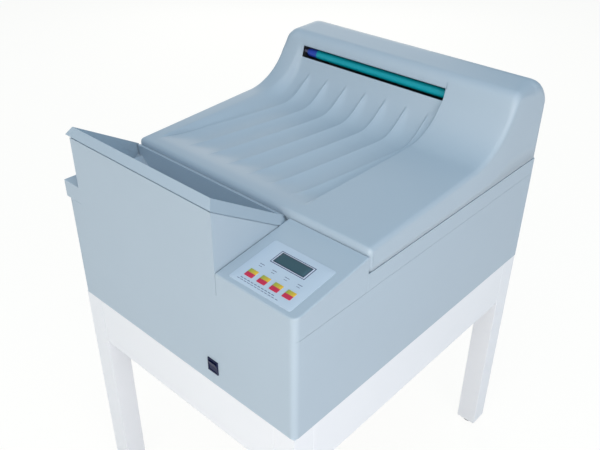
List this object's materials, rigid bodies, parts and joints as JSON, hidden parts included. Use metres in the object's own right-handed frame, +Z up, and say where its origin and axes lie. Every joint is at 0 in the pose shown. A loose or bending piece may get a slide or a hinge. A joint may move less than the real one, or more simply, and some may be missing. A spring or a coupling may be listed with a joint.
{
  "type": "x-ray film processor",
  "caption": "Floor-standing dental x-ray film processor on an open leg stand: front feed hopper, keypad console, lift-off lid with a ribbed receiving tray and a rear exit tower.",
  "frame": {"origin": "on the floor, under the middle of the whole machine", "axes": "+X to the operator's right, +Y to the rear, +Z up; the operator stands on the -Y side"},
  "size_m": [0.606, 0.75, 0.9528],
  "materials": {
    "casing_plastic": "moulded, fine satin grain",
    "stand_paint": "white powder coat",
    "foot_rubber": "matt",
    "fixing_steel": "zinc plated",
    "pan_steel": "satin",
    "label_film": "printed satin film",
    "circuit_board": "solder resist",
    "display_window": "clear window over a dark display",
    "key_film": "printed in two colours",
    "switch_plastic": "moulded, semi gloss",
    "tank_plastic": "moulded",
    "rack_plastic": "machined sheet",
    "roller_grey": "ground rubber",
    "roller_teal": "ground soft rubber",
    "bush_plastic": "moulded",
    "dryer_steel": "folded sheet",
    "heater_steel": "finned",
    "fan_plastic": "moulded",
    "motor_steel": "black paint",
    "shaft_steel": "ground",
    "pump_plastic": "moulded",
    "pipe_plastic": "moulded",
    "supply_steel": "folded sheet",
    "inlet_plastic": "moulded"
  },
  "bodies": {
    "casing": {"leg_front_left": "stand_paint", "leg_front_right": "stand_paint", "leg_rear_left": "stand_paint", "leg_rear_right": "stand_paint", "rail_front": "stand_paint", "rail_rear": "stand_paint", "rail_left": "stand_paint", "rail_right": "stand_paint", "levelling_feet": "foot_rubber", "stand_bolts": "fixing_steel", "base_pan": "pan_steel", "front_panel": "casing_plastic", "left_side_panel": "casing_plastic", "right_side_panel": "casing_plastic", "rear_panel": "casing_plastic", "upper_frame": "casing_plastic", "control_housing": "casing_plastic", "feed_hopper": "casing_plastic", "panel_screws": "fixing_steel", "label_plate": "label_film", "lcd_module": "circuit_board", "lcd_window": "display_window", "control_board": "circuit_board", "power_switch": "switch_plastic", "tank_block": "tank_plastic", "developer_rack": "rack_plastic", "fixer_rack": "rack_plastic", "wash_rack": "rack_plastic", "feed_frame": "rack_plastic", "dryer_frame": "dryer_steel", "dryer_heater": "heater_steel", "fan_motor": "motor_steel", "drive_motor": "motor_steel", "circulation_pump": "pump_plastic", "drain_manifold": "pipe_plastic", "power_supply": "supply_steel", "power_inlet": "inlet_plastic", "water_valve": "pipe_plastic"},
    "lid": {"lid_cover": "casing_plastic"},
    "rocker": {"power_rocker": "switch_plastic"},
    "key_1": {"key_1": "key_film"},
    "key_2": {"key_2": "key_film"},
    "key_3": {"key_3": "key_film"},
    "key_4": {"key_4": "key_film"},
    "drive_shaft": {"drive_shaft": "shaft_steel"},
    "riser_shaft": {"riser_shaft": "shaft_steel"},
    "feed_roller_lower": {"feed_roller_lower": "roller_grey"},
    "feed_roller_upper": {"feed_roller_upper": "roller_grey"},
    "developer_roller_front": {"developer_roller_front": "roller_grey"},
    "developer_roller_rear": {"developer_roller_rear": "roller_grey"},
    "fixer_roller_front": {"fixer_roller_front": "roller_grey"},
    "fixer_roller_rear": {"fixer_roller_rear": "roller_grey"},
    "wash_roller_front": {"wash_roller_front": "roller_grey"},
    "wash_roller_rear": {"wash_roller_rear": "roller_grey"},
    "dryer_roller_front": {"dryer_roller_front": "roller_grey"},
    "dryer_roller_rear": {"dryer_roller_rear": "roller_grey"},
    "exit_roller_front": {"exit_roller_front": "roller_teal", "exit_bush": "bush_plastic"},
    "exit_roller_rear": {"exit_roller_rear": "roller_teal"},
    "fan": {"fan_impeller": "fan_plastic"}
  },
  "joints": [
    {"name": "lid_lift", "type": "slide", "parent": "casing", "child": "lid", "axis": [0, 0, 1], "range_m": [0, 0.25]},
    {"name": "rocker_tilt", "type": "hinge", "parent": "casing", "child": "rocker", "pos_m": [0.108, -0.368, 0.568], "axis": [1, 0, 0], "range_deg": [-16, 0]},
    {"name": "key_1_press", "type": "slide", "parent": "casing", "child": "key_1", "axis": [0, 0.1414, -0.9899], "range_m": [0, 0.0006], "stiffness_N_per_m": 1000},
    {"name": "key_2_press", "type": "slide", "parent": "casing", "child": "key_2", "axis": [0, 0.1414, -0.9899], "range_m": [0, 0.0006], "stiffness_N_per_m": 1000},
    {"name": "key_3_press", "type": "slide", "parent": "casing", "child": "key_3", "axis": [0, 0.1414, -0.9899], "range_m": [0, 0.0006], "stiffness_N_per_m": 1000},
    {"name": "key_4_press", "type": "slide", "parent": "casing", "child": "key_4", "axis": [0, 0.1414, -0.9899], "range_m": [0, 0.0006], "stiffness_N_per_m": 1000},
    {"name": "drive_spin", "type": "hinge", "parent": "casing", "child": "drive_shaft", "pos_m": [0.173, 0, 0.7614], "axis": [0, 1, 0], "continuous": true},
    {"name": "riser_spin", "type": "hinge", "parent": "casing", "child": "riser_shaft", "pos_m": [0.173, 0.291, 0.8], "axis": [0, 0, 1], "continuous": true},
    {"name": "feed_roller_lower_spin", "type": "hinge", "parent": "casing", "child": "feed_roller_lower", "pos_m": [-0.0455, -0.182, 0.74281], "axis": [1, 0, 0], "continuous": true},
    {"name": "feed_roller_upper_spin", "type": "hinge", "parent": "casing", "child": "feed_roller_upper", "pos_m": [-0.0455, -0.182, 0.76321], "axis": [1, 0, 0], "continuous": true},
    {"name": "developer_roller_front_spin", "type": "hinge", "parent": "casing", "child": "developer_roller_front", "pos_m": [-0.0455, -0.121, 0.78], "axis": [1, 0, 0], "continuous": true},
    {"name": "developer_roller_rear_spin", "type": "hinge", "parent": "casing", "child": "developer_roller_rear", "pos_m": [-0.0455, -0.1006, 0.78], "axis": [1, 0, 0], "continuous": true},
    {"name": "fixer_roller_front_spin", "type": "hinge", "parent": "casing", "child": "fixer_roller_front", "pos_m": [-0.0455, -0.01, 0.78], "axis": [1, 0, 0], "continuous": true},
    {"name": "fixer_roller_rear_spin", "type": "hinge", "parent": "casing", "child": "fixer_roller_rear", "pos_m": [-0.0455, 0.0104, 0.78], "axis": [1, 0, 0], "continuous": true},
    {"name": "wash_roller_front_spin", "type": "hinge", "parent": "casing", "child": "wash_roller_front", "pos_m": [-0.0455, 0.101, 0.78], "axis": [1, 0, 0], "continuous": true},
    {"name": "wash_roller_rear_spin", "type": "hinge", "parent": "casing", "child": "wash_roller_rear", "pos_m": [-0.0455, 0.1214, 0.78], "axis": [1, 0, 0], "continuous": true},
    {"name": "dryer_roller_front_spin", "type": "hinge", "parent": "casing", "child": "dryer_roller_front", "pos_m": [-0.0455, 0.252, 0.8], "axis": [1, 0, 0], "continuous": true},
    {"name": "dryer_roller_rear_spin", "type": "hinge", "parent": "casing", "child": "dryer_roller_rear", "pos_m": [-0.0455, 0.2724, 0.8], "axis": [1, 0, 0], "continuous": true},
    {"name": "exit_roller_front_spin", "type": "hinge", "parent": "casing", "child": "exit_roller_front", "pos_m": [-0.0455, 0.252, 0.904], "axis": [1, 0, 0], "continuous": true},
    {"name": "exit_roller_rear_spin", "type": "hinge", "parent": "casing", "child": "exit_roller_rear", "pos_m": [-0.0455, 0.2724, 0.904], "axis": [1, 0, 0], "continuous": true},
    {"name": "fan_spin", "type": "hinge", "parent": "casing", "child": "fan", "pos_m": [-0.0455, 0.2652, 0.62], "axis": [1, 0, 0], "continuous": true}
  ],
  "couplings": [
    {"joint": "riser_spin", "follows": "drive_spin", "ratio": -1},
    {"joint": "feed_roller_lower_spin", "follows": "drive_spin", "ratio": -0.25},
    {"joint": "feed_roller_upper_spin", "follows": "drive_spin", "ratio": 0.25},
    {"joint": "developer_roller_front_spin", "follows": "drive_spin", "ratio": 0.25},
    {"joint": "developer_roller_rear_spin", "follows": "drive_spin", "ratio": -0.25},
    {"joint": "fixer_roller_front_spin", "follows": "drive_spin", "ratio": 0.25},
    {"joint": "fixer_roller_rear_spin", "follows": "drive_spin", "ratio": -0.25},
    {"joint": "wash_roller_front_spin", "follows": "drive_spin", "ratio": 0.25},
    {"joint": "wash_roller_rear_spin", "follows": "drive_spin", "ratio": -0.25},
    {"joint": "dryer_roller_front_spin", "follows": "drive_spin", "ratio": 0.25},
    {"joint": "dryer_roller_rear_spin", "follows": "drive_spin", "ratio": -0.25},
    {"joint": "exit_roller_front_spin", "follows": "drive_spin", "ratio": 0.25},
    {"joint": "exit_roller_rear_spin", "follows": "drive_spin", "ratio": -0.25}
  ]
}
